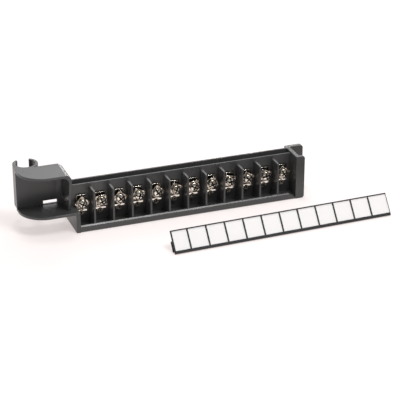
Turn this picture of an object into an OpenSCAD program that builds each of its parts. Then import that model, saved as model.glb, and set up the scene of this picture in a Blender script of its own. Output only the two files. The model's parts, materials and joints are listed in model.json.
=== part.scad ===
// Field wiring arm: a moulded arm that swings on a chassis bar and carries a row of screw terminals.
// All sizes are in millimetres. The arm lies on its long side, runs along +X and faces -Y.
// The origin is on the axis of the pivot hook, halfway up the hook.

/* [Terminals] */
// Number of screw terminals in the row
terminal_count = 12; // [4:1:14]
// Distance from one terminal to the next
pitch = 12.7; // [12.4:0.1:15]
// Distance of the first screw from the pivot axis
first_x = 31.2; // [30:0.1:40]
// Height of the screws above the underside of the arm
screw_z = 16.9; // [16:0.1:18]
// Gap between the first terminal bar and the end wall of the trough
first_gap = 0.15; // [0.1:0.05:2]
// Room between the last screw and the web of the grip
last_room = 6.2; // [5.8:0.1:8]

/* [Trough] */
// Height of the arm at its free end
arm_h = 30.4; // [30:0.1:33]
// Depth from the front of the lip to the terminal wall
trough_d = 11.2; // [10.6:0.1:14]
// Thickness of the bottom plate
bottom_t = 2; // [1.5:0.1:3]
// Height of the front lip
lip_h = 4.8; // [3.5:0.1:5.5]
// Thickness of the front lip
lip_t = 2.1; // [1.5:0.1:2.5]
// Length of the ramp at the grip's end of the lip
lip_ramp = 5; // [2:0.1:6]
// Height of the terminal wall at its front
wall_h = 29.2; // [28.5:0.1:29.8]
// Thickness of the end wall beside the scoop
end_wall_t = 2.8; // [1.6:0.1:3]
// Skin left behind the blind holes for the screw tips
back_skin = 0.9; // [0.6:0.1:2]

/* [Barriers] */
// Height of the barriers between terminals
barrier_h = 27.2; // [25:0.1:28]
// Thickness of a barrier at its front edge
barrier_t = 1.3; // [1:0.1:1.6]
// Extra thickness of a barrier at the terminal wall
barrier_draft = 0.7; // [0:0.1:0.9]
// Distance of the barriers behind the front of the lip
barrier_set = 1; // [0.5:0.1:1.6]
// Width that the foot of a barrier adds on each side
foot_flare = 1.2; // [0.6:0.1:1.6]
// Height of the flared foot above the bottom plate
foot_h = 3.4; // [2:0.1:4]

/* [Clip groove] */
// Thickness of the rib in front of the groove
rib_t = 1.1; // [0.8:0.1:1.5]
// Thickness of the rail behind the groove
rail_t = 1.2; // [0.8:0.1:1.6]
// Depth of the groove below the rib
groove_h = 3; // [2:0.1:4]

/* [Grip] */
// Thickness of the web at the free end
web_t = 2.8; // [2:0.1:3.5]
// Length of the front flange from the web's inner face
flange_l = 6.2; // [5:0.1:9]
// Thickness of the front flange
flange_t = 2.4; // [1.8:0.1:3]
// Length of the rear tab from the web's inner face
tab_l = 12.4; // [8:0.1:16]
// Thickness of the rear tab
tab_t = 3.4; // [2.4:0.1:4]
// Radius of the free corners of flange and tab
grip_r = 1.8; // [0.8:0.1:2.4]

/* [Wire scoop] */
// Height of the scoop's underside above the underside of the arm
scoop_rise = 12.6; // [11:0.1:13.5]
// Height of the scoop
scoop_h = 28.7; // [26:0.1:32]
// Depth of the scoop from the front of the lip
scoop_d = 21.2; // [19.5:0.1:25]
// Wall thickness of the scoop
scoop_t = 1.8; // [1.5:0.1:2.4]
// Radius of the scoop's front corner
scoop_r = 17; // [10:0.5:18]
// Distance of the scoop's inner end wall from the first screw
scoop_gap = 8.35; // [7.6:0.05:9]
// How far the scoop reaches past the hook
scoop_over = 0.6; // [0.2:0.1:2]
// Radius of the scoop's top edge over the end wall, outside and inside
scoop_edge_r = 4.2; // [2:0.1:6]
// Radius between the back wall and the end wall inside the scoop
scoop_inner_r = 4; // [2:0.1:6]
// Depth of the wire passage between scoop and trough, at the scoop's floor
passage_d = 5.5; // [3:0.1:8]
// Length of the cable tie slot
tie_l = 9.2; // [6:0.1:11]
// Height of the cable tie slot
tie_h = 2.4; // [1.5:0.1:3]
// Distance of the tie slot from the scoop's end wall
tie_gap = 3.4; // [3:0.1:8]
// Height of the tie slot above the scoop's floor
tie_lift = 0.4; // [0.2:0.1:2]

/* [Pivot hook] */
// Diameter of the chassis bar that the hook turns on
bar_d = 12.7; // [12:0.1:14]
// Clearance between bar and hook
bar_clear = 0.05; // [0.02:0.01:0.1]
// Wall thickness of the hook
hook_t = 1.85; // [1.5:0.05:2.5]
// Width of the hook's mouth
mouth_w = 7.4; // [5:0.1:8]
// Depth that the hook sinks into the scoop's back wall
hook_sink = 0.95; // [0.6:0.05:1.4]

/* [Screws and clamps] */
// Thread diameter of the terminal screws
screw_d = 3.5; // [3:0.1:4]
// Length of the screws below the head
screw_l = 8; // [7:0.1:9]
// Diameter of the screw heads
head_d = 6; // [5.4:0.1:6.6]
// Height of the screw heads
head_h = 2.4; // [2:0.1:3]
// Width of the slot in the heads
head_slot_w = 1; // [0.8:0.1:1.2]
// Depth of the slot in the heads
head_slot_h = 1.2; // [0.8:0.1:1.5]
// Side of the square clamp plates
clamp_w = 7.4; // [6.8:0.1:7.8]
// Thickness of the clamp plates
clamp_t = 0.9; // [0.7:0.1:1.2]
// Height of the bent edges of the clamp plates
clamp_lip = 0.8; // [0.5:0.1:1.2]
// Corner cut of the clamp plates
clamp_cut = 0.5; // [0.3:0.1:1]
// Gap below the clamps with the screws as they stand
open_gap = 0.7; // [0.3:0.1:1.2]
// Clearance around the screws in the tapped holes
thread_clear = 0.05; // [0.02:0.01:0.1]
// Clearance around the screws in the clamp plates and behind the contacts
loose_clear = 0.4; // [0.3:0.05:0.6]

/* [Contacts] */
// Sheet thickness of the terminal bars
contact_t = 1.2; // [1:0.1:1.5]
// Width of the terminal bars
contact_w = 6.8; // [6:0.1:7.4]
// Height of the bars above the screws
contact_rise = 5.2; // [5:0.1:7]
// Forward step of the bars below the clamps
contact_step = 0.7; // [0.5:0.1:1.5]
// Width of the round tongue below the step
tongue_w = 4; // [3.6:0.1:5]
// Sideways offset of the tongue from the screw
tongue_shift = -0.5; // [-1:0.1:1]
// Width of the tangs that go through the terminal wall
tang_w = 5; // [4:0.1:6]
// Sheet thickness of the tangs and spring leaves
tang_t = 0.8; // [0.6:0.1:1]
// Clearance around the tangs and eyelets in the moulding
fit_clear = 0.05; // [0.02:0.01:0.1]
// Diameter of the eyelets
eyelet_d = 2; // [1.8:0.1:2.4]
// Diameter of the bore in the eyelets
eyelet_bore = 1.2; // [0.8:0.1:1.4]
// Length of the eyelets behind their flange
eyelet_l = 5.6; // [4.5:0.1:6]
// Width of the flange around the eyelets
eyelet_rim = 0.55; // [0.3:0.05:0.7]

/* [Rear socket] */
// Depth of the socket behind the terminal wall
socket_d = 9.3; // [8:0.1:12]
// Wall thickness of the socket
socket_t = 1.6; // [1.2:0.1:2.4]
// Thickness of the board edge that the socket takes
board_t = 1.6; // [1.2:0.1:2]
// Fall of the spring leaves from the tang to the board
leaf_drop = 3; // [2.4:0.1:3.6]

/* [Label strip] */
// Width of the label strip
strip_w = 15.2; // [12:0.1:18]
// Thickness of the strip's face
strip_t = 1.4; // [1.2:0.1:2]
// Room at each end of the strip between the scoop and the grip
strip_clear = 1.4; // [0.5:0.1:2]
// Width of the first label field
first_field = 11.1; // [8:0.1:13]
// Border below the windows
border_low = 1.8; // [0.9:0.1:2.4]
// Border above the windows
border_top = 0.7; // [0.4:0.1:1.5]
// Border at the closed end of the strip
border_end = 0.7; // [0.5:0.1:1.5]
// Border at the open end of the strip
border_open = 0.3; // [0.3:0.1:1.5]
// Width of the bars between the windows
window_bar = 1; // [0.4:0.1:1.4]
// Thickness of the writing card
card_t = 0.4; // [0.3:0.05:0.5]
// Thickness of the skin in front of the card
window_skin = 0.4; // [0.3:0.05:0.6]
// Clearance around the card
card_clear = 0.05; // [0.02:0.01:0.1]
// Distance of the clip leg's outer face behind the strip's face
leg_out = 4.4; // [3.6:0.1:6]
// Thickness of the clip leg
leg_t = 1; // [0.8:0.1:1.4]
// Height of the leg's bridge above the strip's lower edge
bridge_up = 8.8; // [7:0.1:10]
// Lean of the strip's face from the ground
strip_tilt = 52; // [40:1:60]
// Turn of the strip against the arm
strip_yaw = 1.7; // [-5:0.1:5]
// Distance of the strip's end from the pivot axis
strip_x = 73.9; // [40:0.1:100]
// Distance of the strip in front of the arm
strip_gap = 50.6; // [40:0.1:70]

/* [Hidden] */
$fn = 64;
// Overlap that lets joined shapes share a volume
sunk = 0.5;
// Reach of a cut past the face that it opens
past = 1;
// Room in front of the screw tips when the screws are tight
tip_room = 0.5;
// Room between a clamp plate's corners and the step of the terminal bar
clamp_room = 0.12;
// Room between the step of the bar and the eyelet's flange below it
eyelet_edge = 0.5;
// Small bevel on the free edges of the lip
lip_bevel = 0.7;
// Margin of the writing card behind the window frame
card_margin = 0.15;

last_x = first_x + pitch * (terminal_count - 1);
web_x = last_x + last_room;
end_in = first_x - contact_w / 2 - first_gap;
end_out = end_in - end_wall_t;

hook_bore_r = bar_d / 2 + bar_clear;
hook_r = hook_bore_r + hook_t;
pivot_d = scoop_d - hook_sink + hook_r;
pivot_z = scoop_rise + scoop_h / 2;

scoop_left = -hook_r - scoop_over;
scoop_right = first_x - scoop_gap;
scoop_top = scoop_rise + scoop_h;
scoop_floor = scoop_rise + scoop_t;

pad_y = trough_d - contact_t;
clamp_y = pad_y - open_gap - clamp_lip - clamp_t;
tight_tip_y = pad_y - clamp_lip - clamp_t + screw_l;
relief_end = tight_tip_y + tip_room;
wall_back = relief_end + back_skin;
relief_r = screw_d / 2 + loose_clear;

clamp_reach = clamp_w / sqrt(2) - clamp_cut / sqrt(2);
step_z = screw_z - clamp_reach - clamp_room;
eyelet_rim_r = eyelet_d / 2 + eyelet_rim;
eyelet_z = step_z - eyelet_edge - eyelet_rim_r;
foot_y = pad_y - contact_step;
tang_z = screw_z + contact_rise - tang_t / 2;
leaf_z = tang_z - leaf_drop;
board_low = leaf_z - tang_t / 2 - board_t;
socket_roof = tang_z + tang_t / 2 + tang_t;
socket_back = wall_back + socket_d;
socket_high = socket_roof + socket_t;
socket_end = last_x + contact_w / 2 + first_gap + socket_t;

strip_l = web_x - scoop_right - 2 * strip_clear;
card_slot_t = card_t + 2 * card_clear;

// Turn of each screw slot and of each clamp plate, as they were left
screw_turns = [25, 70, -40, 15, 55, -65, 30, -20, 80, 45, -10, 60];
clamp_turns = [42, -6, 44, 22, 45, 26, -8, -25, 12, 30, 20, 38];

function terminal_x(i) = first_x + pitch * i;
function barrier_x(i) = first_x + pitch * (i + 0.5);
function turn_of(list, i) = list[i % len(list)];
function two_digits(i) = i < 10 ? str("0", i) : str(i);
function numbered(name) = [for (i = [1 : terminal_count]) str(name, "_", two_digits(i))];

// Outline of a bent sheet of thickness t along a path of points
function unit(v) = v / norm(v);
function left_of(v) = [-v[1], v[0]];
function side(p, i) = left_of(unit(p[i + 1] - p[i]));
function before(p, i) = side(p, max(i - 1, 0));
function after(p, i) = side(p, min(i, len(p) - 2));
function mitre(p, i, d) = p[i] + (before(p, i) + after(p, i)) * d / (1 + before(p, i) * after(p, i));
function sheet(p, t) = concat(
    [for (i = [0 : len(p) - 1]) mitre(p, i, t / 2)],
    [for (i = [len(p) - 1 : -1 : 0]) mitre(p, i, -t / 2)]
);

// Extrusions of flat outlines along one axis, between two coordinates
module along_x(from, to) {
    translate([from, 0, 0])
        rotate([90, 0, 90])
            linear_extrude(to - from)
                children();
}

module along_y(from, to) {
    translate([0, to, 0])
        rotate([90, 0, 0])
            linear_extrude(to - from)
                children();
}

module along_z(from, to) {
    translate([0, 0, from])
        linear_extrude(to - from)
            children();
}

// Rectangle between two corners
module area(low, high) {
    translate(low)
        square(high - low);
}

// Rectangle between two corners, with the two corners of its right side rounded
module round_right(low, high, r) {
    area(low, [high[0] - r, high[1]]);
    area([low[0], low[1] + r], [high[0], high[1] - r]);
    for (z = [low[1] + r, high[1] - r])
        translate([high[0] - r, z])
            circle(r);
}

// Rectangle between two corners, with only its upper right corner rounded
module round_top_right(low, high, r) {
    area(low, [high[0] - r, high[1]]);
    area(low, [high[0], high[1] - r]);
    translate([high[0] - r, high[1] - r])
        circle(r);
}

// Shapes are drawn with x from the pivot axis, y from the front of the lip and z from the underside
module on_pivot() {
    translate([0, -pivot_d, -pivot_z])
        children();
}

module at_terminal(i, y, z) {
    translate([terminal_x(i), y, z])
        children();
}

// Bottom plate, front lip and terminal wall in one section; a groove on top takes the strip's clip
module trough_section() {
    polygon([
        [0, lip_bevel],
        [lip_bevel, 0],
        [wall_back, 0],
        [wall_back, arm_h],
        [wall_back - rail_t, arm_h],
        [wall_back - rail_t, wall_h - groove_h],
        [trough_d + rib_t, wall_h - groove_h],
        [trough_d + rib_t, wall_h],
        [trough_d, wall_h],
        [trough_d, bottom_t],
        [lip_t, bottom_t],
        [lip_t, lip_h],
        [lip_bevel, lip_h],
        [0, lip_h - lip_bevel]
    ]);
}

module trough() {
    along_x(end_out, web_x + sunk)
        trough_section();
    along_x(end_out, end_in)
        area([0, 0], [wall_back, scoop_floor]);
    along_x(end_out, end_in)
        area([wall_back - sunk, 0], [socket_back, socket_high]);
    along_x(scoop_right - sunk, end_in)
        area([0, scoop_rise], [wall_back, scoop_floor]);
    along_x(scoop_right - sunk, end_in)
        intersection() {
            trough_section();
            area([trough_d, scoop_rise], [wall_back, arm_h]);
        }
}

// Ramp that runs down from the lip to the grip
module lip_end() {
    along_y(-past, lip_t)
        polygon([
            [web_x - lip_ramp, lip_h],
            [web_x, bottom_t / 2],
            [web_x, lip_h + past],
            [web_x - lip_ramp, lip_h + past]
        ]);
}

module barrier() {
    front = barrier_t / 2;
    back = front + barrier_draft / 2;
    along_z(bottom_t - sunk, barrier_h)
        polygon([
            [-front, barrier_set],
            [front, barrier_set],
            [back, trough_d + sunk],
            [-back, trough_d + sunk]
        ]);
    along_y(barrier_set, trough_d + sunk)
        polygon([
            [-front - foot_flare, bottom_t - sunk],
            [front + foot_flare, bottom_t - sunk],
            [front + foot_flare, bottom_t],
            [front, bottom_t + foot_h],
            [-front, bottom_t + foot_h],
            [-front - foot_flare, bottom_t]
        ]);
}

module barriers() {
    for (i = [0 : terminal_count - 2])
        translate([barrier_x(i), 0, 0])
            barrier();
}

module grip() {
    along_x(web_x, web_x + web_t)
        area([0, 0], [wall_back + tab_t, arm_h]);
    along_y(0, flange_t)
        round_right([web_x, 0], [web_x + flange_l, arm_h], grip_r);
    along_y(wall_back, wall_back + tab_t)
        round_right([web_x, 0], [web_x + tab_l, arm_h], grip_r);
}

// Plan of the scoop, with its round front corner
module scoop_plan() {
    area([scoop_left + scoop_r, 0], [scoop_right, scoop_d]);
    area([scoop_left, scoop_r], [scoop_right, scoop_d]);
    translate([scoop_left + scoop_r, scoop_r])
        circle(scoop_r);
}

module scoop_body() {
    intersection() {
        along_z(scoop_rise, scoop_top)
            scoop_plan();
        along_y(0, scoop_d)
            round_top_right([scoop_left, scoop_rise], [scoop_right, scoop_top], scoop_edge_r);
    }
}

// Space for the wires, open to the front and to the outer end
module scoop_space() {
    low_x = scoop_left - past;
    high_x = scoop_right - scoop_t;
    intersection() {
        along_z(scoop_floor, scoop_top - scoop_t)
            round_top_right([low_x, -past], [high_x, scoop_d - scoop_t], scoop_inner_r);
        along_y(-past, scoop_d)
            round_top_right([low_x, scoop_floor], [high_x, scoop_top - scoop_t], scoop_edge_r);
    }
}

// Way for the wires past the front edge of the scoop's end wall, into the trough
module wire_passage() {
    high_z = scoop_top - scoop_t - scoop_edge_r;
    along_x(scoop_right - scoop_t - past, scoop_right + sunk)
        polygon([[-past, scoop_floor], [passage_d, scoop_floor], [0, high_z], [-past, high_z]]);
}

module tie_slot() {
    high_x = scoop_right - scoop_t - tie_gap;
    low_z = scoop_floor + tie_lift;
    along_y(scoop_d - scoop_t - past, scoop_d + past)
        area([high_x - tie_l, low_z], [high_x, low_z + tie_h]);
}

// Plan of the hook: a ring with a mouth at the back and round lips
module hook_plan() {
    lip_r = hook_t / 2;
    lip_x = mouth_w / 2 + lip_r;
    ring_r = hook_bore_r + lip_r;
    lip_y = pivot_d + sqrt(ring_r * ring_r - lip_x * lip_x);
    difference() {
        union() {
            translate([0, pivot_d])
                circle(hook_r);
            area([-hook_r, scoop_d - sunk], [0, pivot_d]);
        }
        polygon([[0, pivot_d], [2 * lip_x, 2 * lip_y - pivot_d], [-2 * lip_x, 2 * lip_y - pivot_d]]);
    }
    for (x = [-lip_x, lip_x])
        translate([x, lip_y])
            circle(lip_r);
}

module hook_bore() {
    translate([0, pivot_d, scoop_rise - past])
        cylinder(h = scoop_h + 2 * past, r = hook_bore_r);
}

// Board socket behind the terminal wall, open at the back
module rear_socket() {
    along_x(end_in - sunk, socket_end)
        area([wall_back - sunk, board_low - socket_t], [socket_back, socket_high]);
}

module socket_space() {
    along_x(end_in, socket_end - socket_t)
        area([wall_back, board_low], [socket_back + past, socket_roof]);
}

// Outline of the bars' tongue: half round below its eyelet, straight above it
module tongue_outline(high) {
    half = tongue_w / 2;
    translate([tongue_shift, 0]) {
        intersection() {
            translate([0, eyelet_z])
                circle(half);
            area([-half, eyelet_z - half], [half, eyelet_z]);
        }
        area([-half, eyelet_z], [half, high]);
    }
}

// Pads that carry the tongues of the terminal bars
module foot_pads() {
    for (i = [0 : terminal_count - 1])
        translate([terminal_x(i), 0, 0])
            along_y(foot_y + contact_t, trough_d + sunk)
                tongue_outline(step_z - contact_t - fit_clear);
}

module terminal_cuts() {
    hole_r = eyelet_d / 2 + fit_clear;
    half = tang_w / 2 + fit_clear;
    high = tang_t / 2 + fit_clear;
    for (i = [0 : terminal_count - 1]) {
        at_terminal(i, relief_end, screw_z)
            rotate([90, 0, 0])
                cylinder(h = relief_end - trough_d + past, r = relief_r);
        at_terminal(i, foot_y + eyelet_l + tip_room, eyelet_z)
            translate([tongue_shift, 0, 0])
                rotate([90, 0, 0])
                    cylinder(h = eyelet_l + tip_room, r = hole_r);
        at_terminal(i, 0, tang_z)
            along_y(trough_d - past, wall_back + past)
                area([-half, -high], [half, high]);
    }
}

module housing() {
    color("#303133")
        difference() {
            union() {
                trough();
                barriers();
                grip();
                scoop_body();
                along_z(scoop_rise, scoop_top)
                    hook_plan();
                rear_socket();
                foot_pads();
            }
            scoop_space();
            tie_slot();
            hook_bore();
            socket_space();
            terminal_cuts();
            wire_passage();
            lip_end();
        }
}

// Terminal bar with a step and a riveted tongue, and the tang that ends in a spring leaf
module contact(i) {
    bar = [
        [foot_y, step_z - contact_t / 2],
        [pad_y + contact_t / 2, step_z - contact_t / 2],
        [pad_y + contact_t / 2, tang_z + tang_t / 2]
    ];
    leaf_run = socket_d - tang_t;
    tang = [
        [pad_y + contact_t / 2, tang_z],
        [wall_back + leaf_run * 0.2, tang_z],
        [wall_back + leaf_run * 0.8, leaf_z],
        [wall_back + leaf_run, leaf_z + leaf_drop * 0.4]
    ];
    color("#c9bfae")
        difference() {
            translate([terminal_x(i), 0, 0]) {
                along_x(-contact_w / 2, contact_w / 2)
                    polygon(sheet(bar, contact_t));
                along_y(foot_y, foot_y + contact_t)
                    tongue_outline(step_z - contact_t / 2);
                along_x(-tang_w / 2, tang_w / 2)
                    polygon(sheet(tang, tang_t));
            }
            at_terminal(i, trough_d + past, screw_z)
                rotate([90, 0, 0])
                    cylinder(h = contact_t + 2 * past, r = screw_d / 2 + thread_clear);
            at_terminal(i, foot_y + contact_t + past, eyelet_z)
                translate([tongue_shift, 0, 0])
                    rotate([90, 0, 0])
                        cylinder(h = contact_t + 2 * past, r = eyelet_d / 2 + fit_clear);
        }
}

// Square plate with cut corners, drawn flat
module clamp_outline() {
    half = clamp_w / 2;
    flat = half - clamp_cut;
    difference() {
        polygon([
            [half, -flat],
            [half, flat],
            [flat, half],
            [-flat, half],
            [-half, flat],
            [-half, -flat],
            [-flat, -half],
            [flat, -half]
        ]);
        circle(screw_d / 2 + loose_clear);
    }
}

module clamp_plate(i) {
    half = clamp_w / 2;
    flat = half - clamp_cut;
    color("#d6cfc2")
        at_terminal(i, clamp_y, screw_z)
            rotate([90, turn_of(clamp_turns, i), 0]) {
                along_z(-clamp_t, 0)
                    clamp_outline();
                for (turn = [0, 180])
                    rotate([0, 0, turn])
                        along_z(-clamp_t - clamp_lip, -clamp_t / 2)
                            area([half - clamp_t, -flat], [half, flat]);
            }
}

module terminal_screw(i) {
    dome_r = head_d;
    tip = screw_d / 8;
    shank_r = screw_d / 2;
    color("#dcd6ca")
        at_terminal(i, clamp_y, screw_z)
            rotate([90, turn_of(screw_turns, i), 0]) {
                difference() {
                    intersection() {
                        cylinder(h = head_h, r = head_d / 2);
                        translate([0, 0, head_h - dome_r])
                            sphere(dome_r);
                    }
                    along_z(head_h - head_slot_h, head_h + past)
                        area([-head_d, -head_slot_w / 2], [head_d, head_slot_w / 2]);
                    along_z(head_h - head_slot_h, head_h + past)
                        area([-head_slot_w / 2, -head_d / 3], [head_slot_w / 2, head_d / 3]);
                }
                rotate_extrude()
                    polygon([
                        [0, sunk],
                        [shank_r, sunk],
                        [shank_r, tip - screw_l],
                        [shank_r - tip, -screw_l],
                        [0, -screw_l]
                    ]);
            }
}

module eyelets() {
    color("#c8c0b0")
        for (i = [0 : terminal_count - 1])
            at_terminal(i, foot_y, eyelet_z)
                translate([tongue_shift, 0, 0])
                    rotate([90, 0, 0])
                        rotate_extrude()
                            polygon([
                                [eyelet_bore / 2, -eyelet_l],
                                [eyelet_d / 2, -eyelet_l],
                                [eyelet_d / 2, 0],
                                [eyelet_rim_r, 0],
                                [eyelet_rim_r, eyelet_rim / 2],
                                [eyelet_rim_r - eyelet_rim / 2, eyelet_rim],
                                [eyelet_bore / 2, eyelet_rim]
                            ]);
}

// The strip leans on its clip leg: x runs along it, y up its face and z out of its face
module on_strip() {
    translate([strip_x, -strip_gap, strip_t * cos(strip_tilt)])
        rotate([0, 0, strip_yaw])
            rotate([strip_tilt, 0, 0])
                children();
}

// Section of the strip: face plate and clip leg, with the leg's end cut along the ground
module strip_section() {
    leg_in = leg_out - leg_t;
    polygon([
        [0, 0],
        [0, -strip_t],
        [bridge_up - leg_t, -strip_t],
        [bridge_up - leg_t, -leg_in],
        [(leg_in - strip_t) / tan(strip_tilt), -leg_in],
        [(leg_out - strip_t) / tan(strip_tilt), -leg_out],
        [bridge_up, -leg_out],
        [bridge_up, -strip_t],
        [strip_w, -strip_t],
        [strip_w, 0]
    ]);
}

// Left and right edge of each window, from the bars between them
function bar_place(i) = first_field + pitch * i;
function window_from(i) = i == 0 ? border_end : bar_place(i - 1) + window_bar / 2;
function window_to(i) = i == terminal_count - 1 ? strip_l - border_open : bar_place(i) - window_bar / 2;

module card_area(margin, to) {
    area(
        [border_end - card_margin - margin, border_low - card_margin - margin],
        [to, strip_w - border_top + card_margin + margin]
    );
}

module label_carrier() {
    color("#26272a")
        on_strip()
            difference() {
                along_x(0, strip_l)
                    strip_section();
                for (i = [0 : terminal_count - 1])
                    along_z(-window_skin - card_clear, past)
                        area([window_from(i), border_low], [window_to(i), strip_w - border_top]);
                along_z(-window_skin - card_slot_t, -window_skin)
                    card_area(card_clear, strip_l + past);
            }
}

module label_card() {
    color("#f4f3f2")
        on_strip()
            along_z(-window_skin - card_clear - card_t, -window_skin - card_clear)
                card_area(0, strip_l);
}

on_pivot() housing();
for (i = [0 : terminal_count - 1]) {
    on_pivot() contact(i);
    on_pivot() clamp_plate(i);
    on_pivot() terminal_screw(i);
}
on_pivot() eyelets();
on_pivot() label_carrier();
on_pivot() label_card();
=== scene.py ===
# %% [markdown]
# # Dressing a field wiring arm
# The arm is a black moulding that swings on a chassis bar and carries twelve screw terminals. Its
# label strip lies in front of it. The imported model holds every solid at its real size, so Blender
# has nothing to fit: this script adds the fine edges, the finish, the light and the camera. Named
# sizes are in millimetres where no comment says otherwise, and MM turns them into Blender's metres.

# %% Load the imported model
import json
import math

import bmesh
import bpy
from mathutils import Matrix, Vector


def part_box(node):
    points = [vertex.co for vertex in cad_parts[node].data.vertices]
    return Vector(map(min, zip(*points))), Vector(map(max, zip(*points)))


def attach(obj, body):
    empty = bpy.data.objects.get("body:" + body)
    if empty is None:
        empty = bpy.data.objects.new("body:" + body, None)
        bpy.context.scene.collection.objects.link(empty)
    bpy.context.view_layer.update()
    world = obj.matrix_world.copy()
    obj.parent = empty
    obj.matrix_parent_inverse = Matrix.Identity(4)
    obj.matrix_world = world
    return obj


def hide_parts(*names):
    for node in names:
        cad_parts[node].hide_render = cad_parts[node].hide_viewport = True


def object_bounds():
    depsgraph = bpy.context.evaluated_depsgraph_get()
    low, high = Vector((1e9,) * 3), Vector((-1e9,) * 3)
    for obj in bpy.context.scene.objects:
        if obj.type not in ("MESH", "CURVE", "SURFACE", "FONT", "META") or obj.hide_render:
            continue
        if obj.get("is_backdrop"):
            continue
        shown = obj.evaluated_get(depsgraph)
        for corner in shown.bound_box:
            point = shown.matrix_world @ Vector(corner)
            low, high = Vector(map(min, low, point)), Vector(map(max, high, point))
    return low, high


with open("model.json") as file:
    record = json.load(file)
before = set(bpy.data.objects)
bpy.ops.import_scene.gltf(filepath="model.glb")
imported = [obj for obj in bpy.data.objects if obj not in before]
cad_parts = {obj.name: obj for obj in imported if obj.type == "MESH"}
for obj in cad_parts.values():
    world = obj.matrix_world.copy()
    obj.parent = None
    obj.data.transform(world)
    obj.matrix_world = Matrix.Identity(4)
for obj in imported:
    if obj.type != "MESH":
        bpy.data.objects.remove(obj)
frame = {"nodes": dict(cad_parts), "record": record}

cad_low, cad_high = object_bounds()
nodes = frame["nodes"]
record = frame["record"]
bodies = record["behaviour"]["bodies"]
BODY_OF = {node: body for body, members in bodies.items() for node in members}
SLOT_OF = {part["node"]: part["material_slot"] for part in record["subparts"]}
MM = 0.001
print(f"{len(nodes)} CAD nodes on {len(bodies)} bodies")
print("size in mm:", [round(side / MM, 1) for side in cad_high - cad_low])

# %% [markdown]
# ## Edges that catch light
# No moulded or stamped edge is perfectly sharp, and its small radius is what draws the thin bright
# lines along the lip, the barriers and the rims. A Bevel modifier could round them all at once, but
# its overlap limit follows the shortest edge, and a few tiny ones around the rivet holes would
# shrink it to nothing. So each solid is copied into bmesh, where the edges can be chosen singly.
#
# A solid comes as triangles, and a bevel slides its new corners along the edges that it meets. On a
# flat wall those are the slanting cuts between triangles, and the new strip would come out twisted.
# So the triangles of each flat wall are joined first, as far as a face stays one plain loop. Cuts
# that end on a rounded edge go first, because they do the harm.

# %% Join the triangles of flat walls
WELD = 0.002 * MM
FLAT_TURN = math.radians(0.3)


def flat_regions(shape):
    """Groups of neighbouring faces that lie in one plane."""
    seen = set()
    for first in shape.faces:
        if first in seen:
            continue
        seen.add(first)
        region = [first]
        for face in region:
            for edge in face.edges:
                if edge.calc_face_angle(math.pi) > FLAT_TURN:
                    continue
                for other in edge.link_faces:
                    if other not in seen:
                        seen.add(other)
                        region.append(other)
        yield region


def join_flat(region, rounded):
    """Joins the faces of a flat region, cuts on rounded edges first, while each stays one loop."""
    inside = set(region)
    inner = {edge for face in region for edge in face.edges if inside.issuperset(edge.link_faces)}

    def rank(edge):
        on_rounded = sum(not rounded.isdisjoint(end.link_edges) for end in edge.verts)
        return on_rounded, edge.calc_length(), edge.index

    for edge in sorted(inner, key=rank, reverse=True):
        if not edge.is_valid or len(set(edge.link_faces)) < 2:
            continue
        one, two = edge.link_faces
        shared_corners = set(one.verts) & set(two.verts)
        shared_edges = set(one.edges) & set(two.edges)
        if len(shared_corners) == len(shared_edges) + 1:
            bmesh.utils.face_join((one, two))


print("the housing comes as", len(nodes["housing"].data.polygons), "triangles")

# %% [markdown]
# Only outer edges that turn sharply are rounded: inner corners and the small turns between the
# facets of a curve stay as they are. Each piece can narrow that down with a test of its own.

# %% Round the sharp edges
EDGE_TURN = math.radians(50)
ROUND_STEPS = 3
ROUND_PROFILE = 0.5  # one half gives a round arc
SAME_SLOT = -1  # new faces take the material of their neighbours


def everywhere(edge):
    """The test that picks every edge."""
    return True


def sharp_edges(shape, chosen):
    """The sharp outer edges that a test picks."""
    return [
        edge for edge in shape.edges
        if edge.is_convex and edge.calc_face_angle(0) > EDGE_TURN and chosen(edge)
    ]


def welded_copy(node, chosen=everywhere):
    """A bmesh of a solid with split corners joined and as few faces as its flat regions allow."""
    shape = bmesh.new()
    shape.from_mesh(nodes[node].data)
    bmesh.ops.remove_doubles(shape, verts=shape.verts, dist=WELD)
    shape.edges.index_update()
    rounded = set(sharp_edges(shape, chosen))
    for region in list(flat_regions(shape)):
        join_flat(region, rounded)
    shape.normal_update()
    return shape


def round_edges(shape, radius_mm, chosen=everywhere, slot=SAME_SLOT):
    """Rounds the sharp outer edges that a test picks, and gives the new faces a material slot."""
    bmesh.ops.bevel(
        shape, geom=sharp_edges(shape, chosen), offset=radius_mm * MM, offset_type="OFFSET",
        segments=ROUND_STEPS, profile=ROUND_PROFILE, affect="EDGES", clamp_overlap=False,
        material=slot,
    )


print(f"edges that turn over {math.degrees(EDGE_TURN):.0f} degrees get {ROUND_STEPS} steps")

# %% [markdown]
# ## A copy in the solid's place
# The rounded copy hides its solid and rides on the same body, so it moves with the joints. Its
# faces are shaded smooth apart from creases, and weighted normals keep the large ones flat. Without
# them, a rounded edge would bend the shading of the whole wall beside it. The label card is a plain
# flat sheet, so its solid is right as it is and only needs a finish.

# %% Put a copy in its solid's place
CREASE = math.radians(38)
pieces = {"label_card": nodes["label_card"]}


def stand_in(shape, node):
    """Makes the bmesh a piece that stands for a solid, smooth apart from its creases."""
    for edge in shape.edges:
        edge.smooth = edge.calc_face_angle(0) < CREASE
    for face in shape.faces:
        face.smooth = True
    mesh = bpy.data.meshes.new(f"rounded_{node}")
    shape.to_mesh(mesh)
    shape.free()
    piece = bpy.data.objects.new(f"rounded_{node}", mesh)
    bpy.context.collection.objects.link(piece)
    normals = piece.modifiers.new("flat faces stay flat", "WEIGHTED_NORMAL")
    normals.keep_sharp = True
    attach(piece, BODY_OF[node])
    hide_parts(node)
    pieces[node] = piece


print(", ".join(pieces), "keeps its solid")

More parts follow.
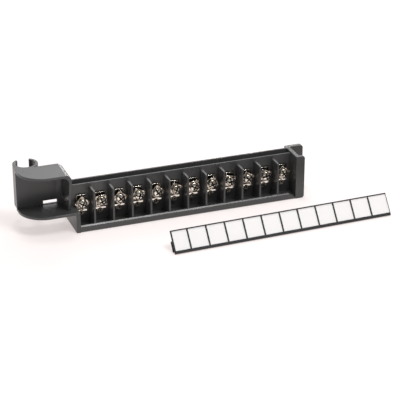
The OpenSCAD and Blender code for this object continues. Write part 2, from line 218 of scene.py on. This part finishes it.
# %% [markdown]
# ## The housing
# The housing is one injection moulding: a trough with a lip in front, a barrier between each two
# terminals, the wire scoop and the pivot hook at one end and the finger grip at the other. Some of
# its edges stay sharp. The holes and slots behind the contacts are small, and the contacts cover
# them, so an edge with both ends inside a contact's box is left out. The ramp at the end of the lip
# runs out to a thin edge with no room for a radius, so its edges are left out too.

# %% Edges of the housing that stay sharp
SHARP_MARGIN = 0.6  # an edge this far outside a box still counts as inside
RAMP_END = 177.1  # along the arm, at the grip
RAMP_LONG = 5.0
RAMP_DEEP = 2.1
RAMP_HIGH = 4.8
front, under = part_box("housing")[0].y, cad_low.z
left_sharp = [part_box(node) for node in nodes if node.startswith("contact_")]
left_sharp.append((
    Vector(((RAMP_END - RAMP_LONG) * MM, front, under)),
    Vector((RAMP_END * MM, front + RAMP_DEEP * MM, under + RAMP_HIGH * MM)),
))


def in_box(point, low, high):
    """True for a point inside a box, or no further outside it than the margin."""
    margin = SHARP_MARGIN * MM
    return all(low[i] - margin <= point[i] <= high[i] + margin for i in range(3))


def open_edge(edge):
    """True for an edge that isn't inside one of the boxes that are left sharp."""
    return not any(all(in_box(end.co, *box) for end in edge.verts) for box in left_sharp)


print(len(left_sharp), "boxes keep their sharp edges")

# %% [markdown]
# The barriers' front tips are rounder than the other edges, so that wires slide past them. They are
# rounded first, while their short top edges can still be told by their place.

# %% Round the housing
HOUSING_EDGE = 0.3
TIP_EDGE = 1.2
BARRIER_TOP = 27.2  # above the underside
BARRIER_SET = 1.0  # behind the front of the lip
tip_y, tip_z = front + BARRIER_SET * MM, under + BARRIER_TOP * MM


def on_tip(edge):
    """True for the short edge at the top of a barrier's front."""
    return all(abs(end.co.y - tip_y) < WELD and abs(end.co.z - tip_z) < WELD for end in edge.verts)


shape = welded_copy("housing", open_edge)
round_edges(shape, TIP_EDGE, on_tip)
round_edges(shape, HOUSING_EDGE, open_edge)
stand_in(shape, "housing")
print("housing:", len(pieces["housing"].data.polygons), "faces")

# %% [markdown]
# ## The label strip
# The strip is a thin moulding with one window for each terminal, and the card lies behind them. Its
# bars are about a millimetre wide, so every sharp edge gets the same small radius.

# %% Round the label strip
STRIP_EDGE = 0.08


def rounded_all_over(node, radius_mm):
    """Puts a copy with one radius on every sharp edge in a solid's place."""
    shape = welded_copy(node)
    round_edges(shape, radius_mm)
    stand_in(shape, node)
    print(f"{node}: {len(pieces[node].data.polygons)} faces, edges of {radius_mm} mm")


rounded_all_over("label_carrier", STRIP_EDGE)

# %% [markdown]
# ## Where metal is rubbed, and where light and shade are painted
# Plate stays bright where fingers, wires and screwdrivers rub it, on the edges, and these edges
# also get a painted highlight. The bar of each contact, where the wire slides in, is a painted
# highlight. The screw's slots are painted nearly black: painted shade. A mask in the shader could
# show this, but a mesh can hold several materials, and sorting its faces into slots is simpler.
# Slot 0 is plain plate, and the other two have names.

# %% Slots of the metal pieces
# slot 1: rubbed plate with a painted highlight; slot 2: painted shade
RUBBED_AND_GLINT, PAINTED_SHADE = 1, 2
METAL_EDGE = 0.12


def in_plane(edge, depth):
    """True for an edge that lies in the plane at one depth."""
    return all(abs(end.co.y - depth) < WELD for end in edge.verts)


def make_each(start, make):
    """Makes a copy of every solid whose name has this start."""
    made = [node for node in nodes if node.startswith(start)]
    for node in made:
        make(node)
    faces = sum(len(pieces[node].data.polygons) for node in made)
    print(f"{len(made)} pieces {start}NN: {faces} faces")


print("slots: plain 0, rubbed", RUBBED_AND_GLINT, "and painted_shade_slots", PAINTED_SHADE)

# %% [markdown]
# ## Contacts
# A contact is stamped from brass sheet. Its bar under the screw shows as a bright line, which is a
# painted highlight, and the tongue below the bar, which the eyelet holds, is dull, partly tarnish
# and partly painted shade. Both are one flat face in front, so that face is cut where the bar ends,
# and the upper part takes the bright plate of the painted highlight. The contact goes on into the
# terminal wall, and its edges in the wall's plane stay sharp.

# %% Contacts
WALL_DEEP = 11.2  # the terminal wall, behind the front of the housing
BAR_ABOVE_FOOT = 2.96  # where the bar starts, above the contact's low end


def contact(node):
    """A contact whose front bar, above the tongue with the eyelet, has a painted highlight."""
    def chosen(edge):
        return not in_plane(edge, front + WALL_DEEP * MM)

    shape = welded_copy(node, chosen)
    round_edges(shape, METAL_EDGE, chosen, RUBBED_AND_GLINT)
    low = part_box(node)[0]
    bar_low = low.z + BAR_ABOVE_FOOT * MM

    def front_faces():
        return [
            face for face in shape.faces
            if all(corner.co.y - low.y < WELD for corner in face.verts)
        ]

    # The keys of a dict keep their order and those of a set don't, so each run gives one mesh.
    faces = front_faces()
    edges = dict.fromkeys(edge for face in faces for edge in face.edges)
    corners = dict.fromkeys(corner for face in faces for corner in face.verts)
    bmesh.ops.bisect_plane(
        shape, geom=[*faces, *edges, *corners], plane_co=(0, 0, bar_low), plane_no=(0, 0, 1),
    )
    # the bar's faces take the bright plate, a painted highlight
    for face in front_faces():
        if face.calc_center_median().z > bar_low:
            face.material_index = RUBBED_AND_GLINT
    stand_in(shape, node)


make_each("contact_", contact)

# %% [markdown]
# ## Clamp plates
# A clamp plate is a square of steel sheet, captive under the screw's head, and each has turned its
# own way. Only the edges around its front are seen and touched, so only those are rounded.

# %% Clamp plates


def clamp_plate(node):
    """A clamp plate with front edges that are rubbed and have a painted highlight."""
    plate_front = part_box(node)[0].y

    def chosen(edge):
        return in_plane(edge, plate_front)

    shape = welded_copy(node, chosen)
    round_edges(shape, METAL_EDGE, chosen, RUBBED_AND_GLINT)
    stand_in(shape, node)


make_each("clamp_plate_", clamp_plate)

# %% [markdown]
# ## Terminal screws
# The head is a low dome with a slot and a shorter cross slot. The faces of the slots are the ones
# inside the head that lie deeper than the dome does at their place, and they get painted shade.
# The rim is rounded after that, so that its new faces aren't taken for the slots'.

# %% Terminal screws
RIM_EDGE = 0.2
HEAD_R = 3.0
HEAD_H = 2.4
DOME_R = 6.0
NEAR = 0.1  # slack when a place is compared with the head's form


def terminal_screw(node):
    """A screw with a bright rim, rubbed and with a painted highlight, and slots in painted shade.
    """
    shape = welded_copy(node)
    low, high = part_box(node)
    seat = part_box(node.replace("terminal_screw", "clamp_plate"))[0].y
    axis = (low + high) / 2

    def reach(point):
        return math.hypot(point.x - axis.x, point.z - axis.z)

    def on_rim(edge):
        return all(abs(reach(end.co) - HEAD_R * MM) < NEAR * MM for end in edge.verts)

    # faces in the slots get painted shade, nearly black
    for face in shape.faces:
        middle = face.calc_center_median()
        drop = DOME_R * MM - math.sqrt(max(0.0, (DOME_R * MM) ** 2 - reach(middle) ** 2))
        dome = seat - HEAD_H * MM + drop
        in_head = reach(middle) < (HEAD_R - NEAR) * MM and middle.y < seat - NEAR * MM
        if in_head and middle.y > dome + NEAR * MM:
            face.material_index = PAINTED_SHADE
    round_edges(shape, RIM_EDGE, on_rim, RUBBED_AND_GLINT)
    stand_in(shape, node)


make_each("terminal_screw_", terminal_screw)

# %% [markdown]
# ## Eyelets
# The eyelets are small hollow rivets that hold the contacts' tongues. All twelve are one node, so
# one copy is enough, with a fine radius on each ring.

# %% Eyelets
EYELET_EDGE = 0.06
rounded_all_over("eyelets", EYELET_EDGE)
print(len(pieces), "pieces;", sum(len(p.data.polygons) for p in pieces.values()), "faces")

# %% [markdown]
# ## Colours and shader nodes
# Colours are written the way a screen shows them, as sRGB hex values, and one function turns them
# into the linear numbers that a shader works with. One more function adds any shader node: it takes
# the node's kind, its settings, and what each of its sockets holds, a value or another's output.

# %% Helpers for materials
# A Mix node has sockets for each kind of data under the same names, so they go by number.
MIX_BY, COLOUR_A, COLOUR_B, COLOUR_OUT = 0, 6, 7, 2


def srgb(code):
    """Linear RGBA of an sRGB hex colour, by the curve of the sRGB standard."""
    parts = [int(code[i:i + 2], 16) / 255 for i in (1, 3, 5)]
    linear = [c / 12.92 if c <= 0.04045 else ((c + 0.055) / 1.055) ** 2.4 for c in parts]
    return (*linear, 1.0)


def per_metre(size_mm):
    """Texture scale for a pattern whose features are this many millimetres across."""
    return 1 / (size_mm * MM)


def add(tree, kind, sockets=None, **settings):
    """Adds a shader node with its settings, and fills its sockets with values or links."""
    made = tree.nodes.new(kind)
    for name, value in settings.items():
        setattr(made, name, value)
    for socket, source in (sockets or {}).items():
        if isinstance(source, bpy.types.NodeSocket):
            tree.links.new(source, made.inputs[socket])
        else:
            made.inputs[socket].default_value = source
    return made


def new_material(name):
    """A material and its empty node tree."""
    material = bpy.data.materials.new(name)
    material.use_nodes = True
    material.node_tree.nodes.clear()
    return material, material.node_tree


print("mid grey #808080 is", round(srgb("#808080")[0], 3), "in linear light")

# %% [markdown]
# ## Moulded polycarbonate
# Such arms are moulded in flame-retardant black polycarbonate, in a tool with a fine spark-eroded
# texture. To the eye it is a charcoal grey with a soft sheen: tops that face the light turn pale,
# hollows stay nearly black. Clouds the size of flow marks change the tone and the roughness a
# little, as no moulding is quite even. The texture's grit is about 0.1 mm, too fine for the render,
# so it is drawn at 0.5 mm.

# %% Moulded polycarbonate
FLOW_MARK = 14
FLOW_LOW, FLOW_HIGH = 0.3, 0.7  # most of the noise lies between these
GRIT = 0.5
GRIT_DEEP = 0.05
GRIT_STRENGTH = 0.12
POLYCARBONATE_IOR = 1.58


def moulded_polycarbonate(name, base, pale, rough_low, rough_high):
    """Moulded plastic, cloudy in tone and roughness, with a fine grit."""
    material, tree = new_material(name)
    place = add(tree, "ShaderNodeTexCoord").outputs["Object"]
    cloud = add(tree, "ShaderNodeTexNoise", {
        "Vector": place, "Scale": per_metre(FLOW_MARK), "Detail": 4.0,
    })
    grit = add(tree, "ShaderNodeTexNoise", {
        "Vector": place, "Scale": per_metre(GRIT), "Detail": 3.0,
    })
    tint = add(tree, "ShaderNodeMix", {
        MIX_BY: cloud.outputs["Fac"], COLOUR_A: srgb(base), COLOUR_B: srgb(pale),
    }, data_type="RGBA")
    rough = add(tree, "ShaderNodeMapRange", {
        "Value": cloud.outputs["Fac"], "From Min": FLOW_LOW, "From Max": FLOW_HIGH,
        "To Min": rough_low, "To Max": rough_high,
    })
    bump = add(tree, "ShaderNodeBump", {
        "Height": grit.outputs["Fac"], "Strength": GRIT_STRENGTH, "Distance": GRIT_DEEP * MM,
    })
    shader = add(tree, "ShaderNodeBsdfPrincipled", {
        "Base Color": tint.outputs[COLOUR_OUT], "Roughness": rough.outputs["Result"],
        "Normal": bump.outputs["Normal"], "IOR": POLYCARBONATE_IOR,
    })
    add(tree, "ShaderNodeOutputMaterial", {"Surface": shader.outputs[0]})
    return material


# Charcoal with a soft sheen that turns pale at a flat angle.
HOUSING = moulded_polycarbonate("spark_textured_polycarbonate", "#3c3c3c", "#454544", 0.26, 0.36)
# Duller and darker: thin black bars that frame the white card.
STRIP = moulded_polycarbonate("moulded_strip_polycarbonate", "#18181a", "#1f1f21", 0.62, 0.74)
print("plastics:", HOUSING.name, "and", STRIP.name)

# %% [markdown]
# ## Nickel-plated metal
# Screws and clamps are steel with a bright nickel plate, and contacts and eyelets are brass with
# the same plate. Nickel is a warm grey mirror: it shows bright glints beside nearly black
# reflections of the walls. Years of handling leave brown stains in it, about a millimetre across,
# so a noise of that size leads from the bright colour to the dull one and from smooth to rough.
# On the screws, clamps and contacts these patches are also painted light: the bright ones painted
# glints, the dull ones painted shade and painted dark reflections. Only the noise's middle range is
# used, which gives the patches an outline. The grain of the plate is far finer than a pixel, so it
# is drawn at 0.4 mm.

# %% Nickel plate
TARNISH_AND_GLINT_LOW, TARNISH_AND_GLINT_HIGH = 0.42, 0.58  # the middle range of the noise
GRAIN = 0.4
GRAIN_DEEP = 0.02
GRAIN_STRENGTH = 0.2


def nickel_plate(name, bright, dull, rough_low, rough_high, tarnish_and_glint_mm):
    """Plated metal that goes from bright and smooth to dull and rough, in stains and painted light.
    """
    material, tree = new_material(name)
    place = add(tree, "ShaderNodeTexCoord").outputs["Object"]
    tarnish_and_glint = add(tree, "ShaderNodeTexNoise", {
        "Vector": place, "Scale": per_metre(tarnish_and_glint_mm), "Detail": 5.0,
    })
    grain = add(tree, "ShaderNodeTexNoise", {
        "Vector": place, "Scale": per_metre(GRAIN), "Detail": 2.0,
    })
    spread = add(tree, "ShaderNodeMapRange", {
        "Value": tarnish_and_glint.outputs["Fac"], "From Min": TARNISH_AND_GLINT_LOW, "From Max": TARNISH_AND_GLINT_HIGH,
    })
    tint = add(tree, "ShaderNodeMix", {
        MIX_BY: spread.outputs["Result"], COLOUR_A: srgb(dull), COLOUR_B: srgb(bright),
    }, data_type="RGBA")
    rough = add(tree, "ShaderNodeMapRange", {
        "Value": spread.outputs["Result"], "To Min": rough_high, "To Max": rough_low,
    })
    bump = add(tree, "ShaderNodeBump", {
        "Height": grain.outputs["Fac"], "Strength": GRAIN_STRENGTH, "Distance": GRAIN_DEEP * MM,
    })
    shader = add(tree, "ShaderNodeBsdfPrincipled", {
        "Base Color": tint.outputs[COLOUR_OUT], "Metallic": 1.0,
        "Roughness": rough.outputs["Result"], "Normal": bump.outputs["Normal"],
    })
    add(tree, "ShaderNodeOutputMaterial", {"Surface": shader.outputs[0]})
    return material


# Edges that are rubbed clean and get a painted highlight, and the contacts' bars, a painted
# highlight: white glints.
BRIGHT = nickel_plate("rubbed_and_glint_nickel", "#fbf7f0", "#e8e0d2", 0.06, 0.16, 1.3)
# Screw heads: a bright mirror with brown clouds, partly stains and partly painted shade.
SCREW = nickel_plate("nickel_plated_screw_steel", "#f8f3ea", "#9d9384", 0.1, 0.22, 1.3)
# Clamp plates: bright patches that are painted glints, beside nearly black ones that are
# partly tarnish and partly painted dark reflections.
CLAMP = nickel_plate("tarnish_and_glint_clamp_steel", "#e6dccb", "#342f29", 0.12, 0.28, 1.4)
# Contacts: dark and dull, partly tarnish and partly painted shade, so that the bright bar
# stands out.
CONTACT = nickel_plate("tarnish_and_shade_contact_brass", "#6d675e", "#2a2724", 0.2, 0.36, 1.6)
# Eyelets: dull brown rings around dark holes, their dull colour a painted shade.
EYELET = nickel_plate("dull_eyelet_brass", "#6c675f", "#393631", 0.28, 0.42, 1.2)
# Screw slots: painted shade, nearly black with a faint sheen.
SLOT_SHADE = nickel_plate("painted_shade_recess_steel", "#2e2a26", "#181614", 0.36, 0.5, 0.8)
print("metals:", ", ".join(m.name for m in (BRIGHT, SCREW, CLAMP, CONTACT, EYELET, SLOT_SHADE)))

# %% [markdown]
# ## Writing card
# The card behind the windows is matt coated card. To the eye it is white with a faint warm tone and
# no gloss. Its fibres are too thin for the render, so they are drawn as flecks of 0.6 mm.

# %% Writing card
FIBRE = 0.6
FIBRE_DEEP = 0.02
FIBRE_STRENGTH = 0.1
CARD_ROUGH = 0.6
CARD_IOR = 1.5


def coated_card(name, base, pale):
    """Matt card with a fine fleck of fibres."""
    material, tree = new_material(name)
    place = add(tree, "ShaderNodeTexCoord").outputs["Object"]
    fibre = add(tree, "ShaderNodeTexNoise", {
        "Vector": place, "Scale": per_metre(FIBRE), "Detail": 4.0,
    })
    tint = add(tree, "ShaderNodeMix", {
        MIX_BY: fibre.outputs["Fac"], COLOUR_A: srgb(base), COLOUR_B: srgb(pale),
    }, data_type="RGBA")
    bump = add(tree, "ShaderNodeBump", {
        "Height": fibre.outputs["Fac"], "Strength": FIBRE_STRENGTH, "Distance": FIBRE_DEEP * MM,
    })
    shader = add(tree, "ShaderNodeBsdfPrincipled", {
        "Base Color": tint.outputs[COLOUR_OUT], "Roughness": CARD_ROUGH,
        "Normal": bump.outputs["Normal"], "IOR": CARD_IOR,
    })
    add(tree, "ShaderNodeOutputMaterial", {"Surface": shader.outputs[0]})
    return material


CARD = coated_card("matt_coated_card", "#f2efee", "#f8f5f4")
print("card:", CARD.name)

# %% [markdown]
# ## A finish for each piece
# The record gives every node a material slot, such as screw_metal. Each of these gets its list of
# materials here, in the order of the mesh's own slots: plain, rubbed with a painted highlight, and
# painted shade. Clearing a mesh's materials sets all its faces back to the first slot, so their
# slots are read before and written back after.

# %% Give each piece its finish
FINISH = {
    "body_plastic": [HOUSING], "strip_plastic": [STRIP], "card": [CARD],
    "screw_metal": [SCREW, BRIGHT, SLOT_SHADE], "clamp_metal": [CLAMP, BRIGHT],
    "contact_metal": [CONTACT, BRIGHT], "eyelet_metal": [EYELET],
}
for node, piece in pieces.items():
    slots = [face.material_index for face in piece.data.polygons]
    piece.data.materials.clear()
    for material in FINISH[SLOT_OF[node]]:
        piece.data.materials.append(material)
    piece.data.polygons.foreach_set("material_index", slots)
print(len(pieces), "pieces have their finish")

# %% [markdown]
# ## Floor
# The floor is pale and keeps the soft shadow. More lamp light would make it white, but it would
# bleach the arm too. So the floor has a little glow that only the camera, mirrors and glass can
# see, which lifts it to white and puts no more light on the arm.

# %% Floor
FLOOR_HALF = 3.0  # metres
FLOOR_CORNERS = [(-1, -1), (1, -1), (1, 1), (-1, 1)]
FLOOR_PAINT, FLOOR_GLOW = "#bcbaba", "#fff3f0"
FLOOR_LIFT = 0.5  # strength of the glow
floor_mesh = bpy.data.meshes.new("floor")
floor_mesh.from_pydata(
    [(x * FLOOR_HALF, y * FLOOR_HALF, cad_low.z) for x, y in FLOOR_CORNERS], [], [(0, 1, 2, 3)],
)
floor = bpy.data.objects.new("floor", floor_mesh)
bpy.context.collection.objects.link(floor)
floor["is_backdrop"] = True


def seen_directly(tree, path):
    """Output that is 1 for rays from the camera, off mirrors and through glass, or else 0."""
    seen = path.outputs["Is Camera Ray"]
    for ray in ("Is Glossy Ray", "Is Transmission Ray"):
        either = {0: seen, 1: path.outputs[ray]}
        seen = add(tree, "ShaderNodeMath", either, operation="MAXIMUM").outputs[0]
    return seen


material, tree = new_material("white_sweep")
seen = seen_directly(tree, add(tree, "ShaderNodeLightPath"))
lift = add(tree, "ShaderNodeMath", {0: seen, 1: FLOOR_LIFT}, operation="MULTIPLY")
paint = add(tree, "ShaderNodeBsdfDiffuse", {"Color": srgb(FLOOR_PAINT)})
glow = add(tree, "ShaderNodeEmission", {"Color": srgb(FLOOR_GLOW), "Strength": lift.outputs[0]})
both = add(tree, "ShaderNodeAddShader", {0: paint.outputs[0], 1: glow.outputs[0]})
add(tree, "ShaderNodeOutputMaterial", {"Surface": both.outputs[0]})
floor_mesh.materials.append(material)
print(f"floor at {cad_low.z / MM:.2f} mm, {2 * FLOOR_HALF:.0f} m wide")

# %% [markdown]
# ## Room
# The room is white where the camera sees it and a dim grey where it lights the arm. Mirrors see a
# white backdrop behind the arm and a darker room in front of it, which gives metal its contrast. In
# a world's nodes, the generated coordinates are the way that a ray goes, so its Y tells back from
# front.

# %% Room
AMBIENT = 0.56
ROOM_FRONT, ROOM_BACK = 0.3, 1.0  # what mirrors see there
FRONT_ENDS, BACK_STARTS = -0.2, 0.5  # Y of the way that a ray goes
NUMBER_A, NUMBER_B, NUMBER_OUT = 2, 3, 0  # a Mix node's sockets for plain numbers
world = bpy.data.worlds.new("studio")
bpy.context.scene.world = world
world.use_nodes = True
tree = world.node_tree
tree.nodes.clear()
path = add(tree, "ShaderNodeLightPath")
way = add(tree, "ShaderNodeTexCoord").outputs["Generated"]
back = add(tree, "ShaderNodeSeparateXYZ", {0: way}).outputs["Y"]
mirrored = add(tree, "ShaderNodeMapRange", {
    "Value": back, "From Min": FRONT_ENDS, "From Max": BACK_STARTS,
    "To Min": ROOM_FRONT, "To Max": ROOM_BACK,
})
shown = add(tree, "ShaderNodeMath", {
    0: mirrored.outputs["Result"], 1: path.outputs["Is Camera Ray"],
}, operation="MAXIMUM")
strength = add(tree, "ShaderNodeMix", {
    MIX_BY: seen_directly(tree, path), NUMBER_A: AMBIENT, NUMBER_B: shown.outputs[0],
}, data_type="FLOAT")
sky = add(tree, "ShaderNodeBackground", {
    "Color": srgb("#ffffff"), "Strength": strength.outputs[NUMBER_OUT],
})
add(tree, "ShaderNodeOutputWorld", {"Surface": sky.outputs[0]})
print("the room lights the arm at", AMBIENT)

# %% [markdown]
# ## Lamps
# A softbox in front and above lights the fronts and draws the line along the lip. A second one
# overhead lights the tops, and a wide one behind gives them their sheen. A low strip far behind, on
# the right, is mirrored in the round corner of the scoop as a thin white line. Area lamps suit all
# four, because their size sets how soft the shadows are. The camera doesn't see them.

# %% Lamps
# Place, width and height in metres, and power in watts.
LAMPS = {
    "front_softbox": ((0.3, -0.45, 0.89), (0.32, 0.32), 4.7),
    "top_softbox": ((0.05, 0.2, 1.2), (0.25, 0.25), 2.9),
    "back_softbox": ((0.28, 0.75, 0.7), (0.7, 0.3), 2.1),
    "edge_strip": ((0.35, 0.64, 0.13), (0.2, 0.04), 0.48),
}
middle = (cad_low + cad_high) / 2
for name, (place, size, watts) in LAMPS.items():
    lamp = bpy.data.lights.new(name, "AREA")
    lamp.shape = "RECTANGLE"
    lamp.size, lamp.size_y = size
    lamp.energy = watts
    box = bpy.data.objects.new(name, lamp)
    box.location = place
    towards = middle - Vector(place)
    box.rotation_euler = towards.to_track_quat("-Z", "Y").to_euler()
    box.visible_camera = False
    bpy.context.collection.objects.link(box)
    print(f"{name}: {watts} W, {towards.length:.2f} m from the middle")

# %% [markdown]
# ## Camera
# A long lens a metre away, as for a catalogue picture. Its place was found by fitting the barriers,
# the lip and the grip to their pixels in the photograph.

# %% Camera
SENSOR = 36.0
LENS = 136.75
CAMERA_PLACE = (-0.20331, -0.87395, 0.40499)  # metres
CAMERA_TILT = math.radians(64.92)
CAMERA_TURN = math.radians(-20.26)
camera_data = bpy.data.cameras.new("camera")
camera_data.sensor_width = SENSOR
camera_data.lens = LENS
camera = bpy.data.objects.new("camera", camera_data)
camera.location = CAMERA_PLACE
camera.rotation_euler = (CAMERA_TILT, 0.0, CAMERA_TURN)
bpy.context.collection.objects.link(camera)
bpy.context.scene.camera = camera
print(f"camera {(Vector(CAMERA_PLACE) - middle).length:.2f} m from the middle")

# %% [markdown]
# ## View
# Blender's own view, AgX, softens bright tones as film does. The Standard view shows a colour about
# as it is written, which suits a product picture on white.

# %% View settings
bpy.context.scene.view_settings.view_transform = "Standard"
print("view:", bpy.context.scene.view_settings.view_transform)

# %% [markdown]
# ## Sizes
# Dressing should leave the size of the part as it is, and the growth on each side is printed.

# %% Print the growth in size
new_low, new_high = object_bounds()
growth = (new_high - new_low) - (cad_high - cad_low)
print("growth in mm:", [round(side / MM, 2) for side in growth])
